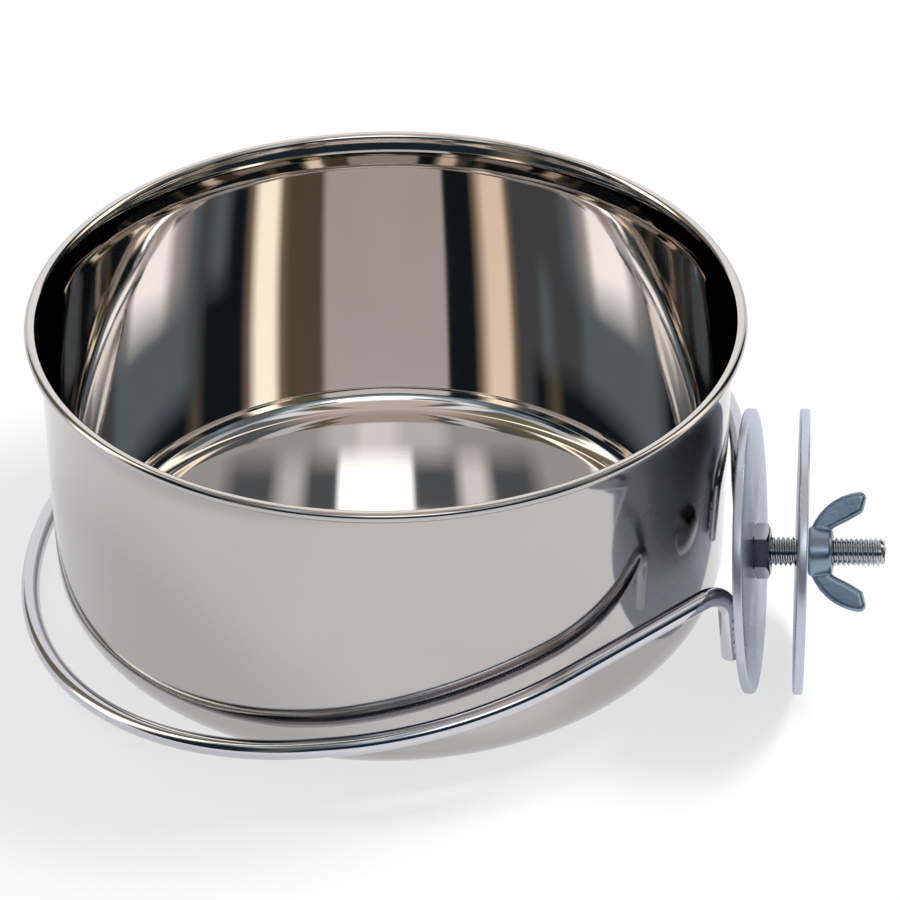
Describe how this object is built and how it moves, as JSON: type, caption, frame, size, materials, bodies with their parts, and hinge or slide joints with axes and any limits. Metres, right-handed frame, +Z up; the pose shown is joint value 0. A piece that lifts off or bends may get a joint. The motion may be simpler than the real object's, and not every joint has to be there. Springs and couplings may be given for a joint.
{
  "type": "seed cup",
  "caption": "Round polished steel seed cup standing in a tilted wire ring holder, with two round clamp plates, a bolt and a wing nut for fixing it to cage bars.",
  "frame": {"origin": "centre of the cup's flat base, on the floor", "axes": "+Z up; +X from the cup towards the clamp, along the bolt seen from above; +Y to the rear"},
  "size_m": [0.1876, 0.1568, 0.07],
  "materials": {
    "cup_steel": "mirror polished stainless steel",
    "ring_chrome": "bright plated steel wire",
    "weld_steel": "plated over, slightly rough",
    "plate_steel": "bright plated sheet",
    "zinc": "satin zinc plated"
  },
  "bodies": {
    "holder": {"holder_ring": "ring_chrome", "front_weld": "weld_steel", "rear_weld": "weld_steel", "inner_plate": "plate_steel", "clamp_bolt": "zinc", "lock_nut": "zinc"},
    "cup": {"cup": "cup_steel"},
    "outer_plate": {"outer_plate": "plate_steel"},
    "wing_nut": {"wing_nut": "zinc"}
  },
  "joints": [
    {"name": "cup_lift", "type": "slide", "parent": "holder", "child": "cup", "axis": [0, 0, 1], "range_m": [-0.027, 0.08]},
    {"name": "plate_slide", "type": "slide", "parent": "holder", "child": "outer_plate", "axis": [0.9954, 0, 0.0958], "range_m": [-0.003, 0.009]},
    {"name": "nut_spin", "type": "hinge", "parent": "outer_plate", "child": "wing_nut", "pos_m": [0.09357, -0.0195, 0.03084], "axis": [0.9954, 0, 0.0958], "range_deg": [-1083, 3243]}
  ],
  "couplings": [
    {"joint": "nut_spin", "follows": "plate_slide", "rad_per_m": 6283.2}
  ]
}
